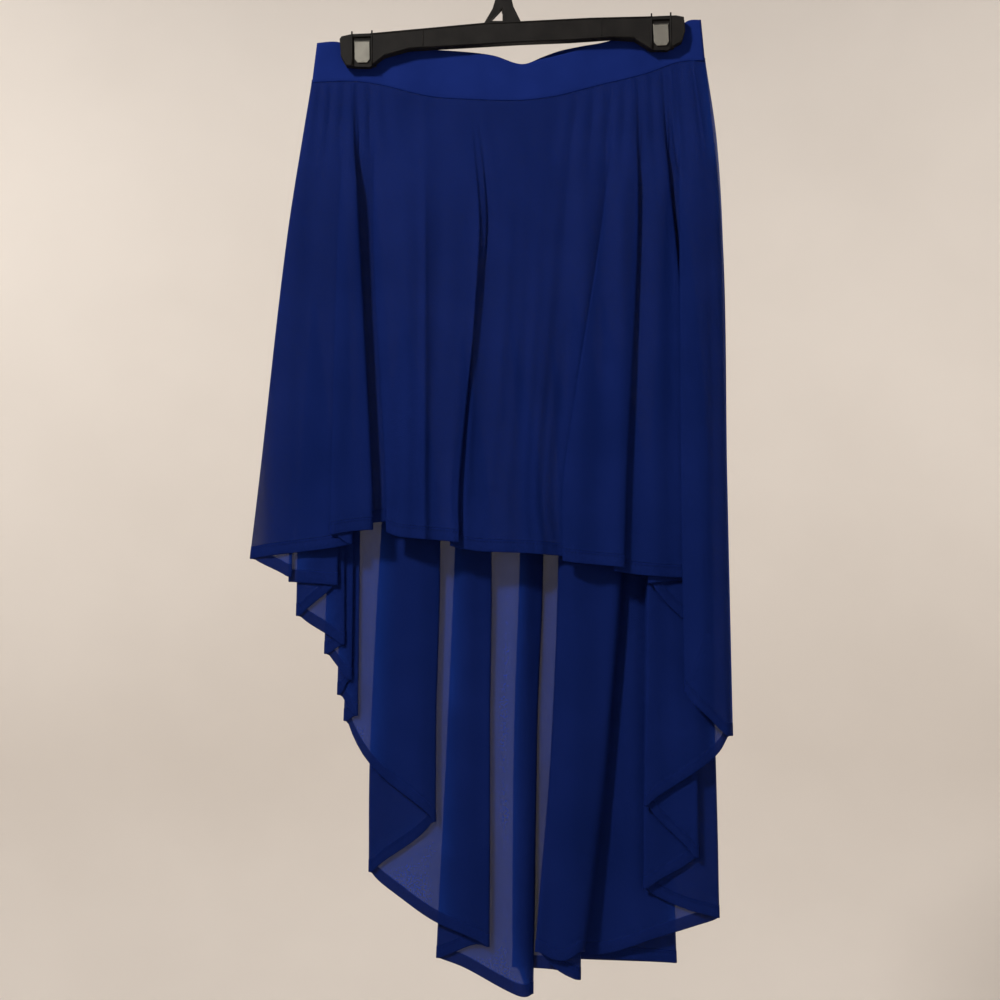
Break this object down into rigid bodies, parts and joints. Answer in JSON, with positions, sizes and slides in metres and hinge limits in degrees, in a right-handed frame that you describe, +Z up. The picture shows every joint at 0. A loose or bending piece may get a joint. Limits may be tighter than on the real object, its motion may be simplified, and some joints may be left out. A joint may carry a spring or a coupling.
{
  "type": "asymmetric skirt hanging from a clip hanger",
  "caption": "High-low skirt of sheer blue knit with a plain waistband, gathered folds and a long cascading back, held by a clip hanger with a wire hook.",
  "frame": {"origin": "inside top of the hanger's hook, where a rail carries it", "axes": "+Z up, the wearer's front faces -Y, +X to the right of someone looking at the front"},
  "size_m": [0.4805, 0.0651, 1.0734],
  "materials": {
    "cloth": "sheer fine knit, matt",
    "waistband": "opaque elastic knit, matt",
    "plastic": "black moulded plastic, low sheen",
    "metal": "plain plated steel"
  },
  "bodies": {
    "root": {"skirt_front": "cloth", "skirt_back": "cloth", "waistband_front": "waistband", "waistband_back": "waistband", "hanger_body": "plastic", "clip_left": "metal", "clip_right": "metal", "hook": "metal"}
  },
  "joints": []
}
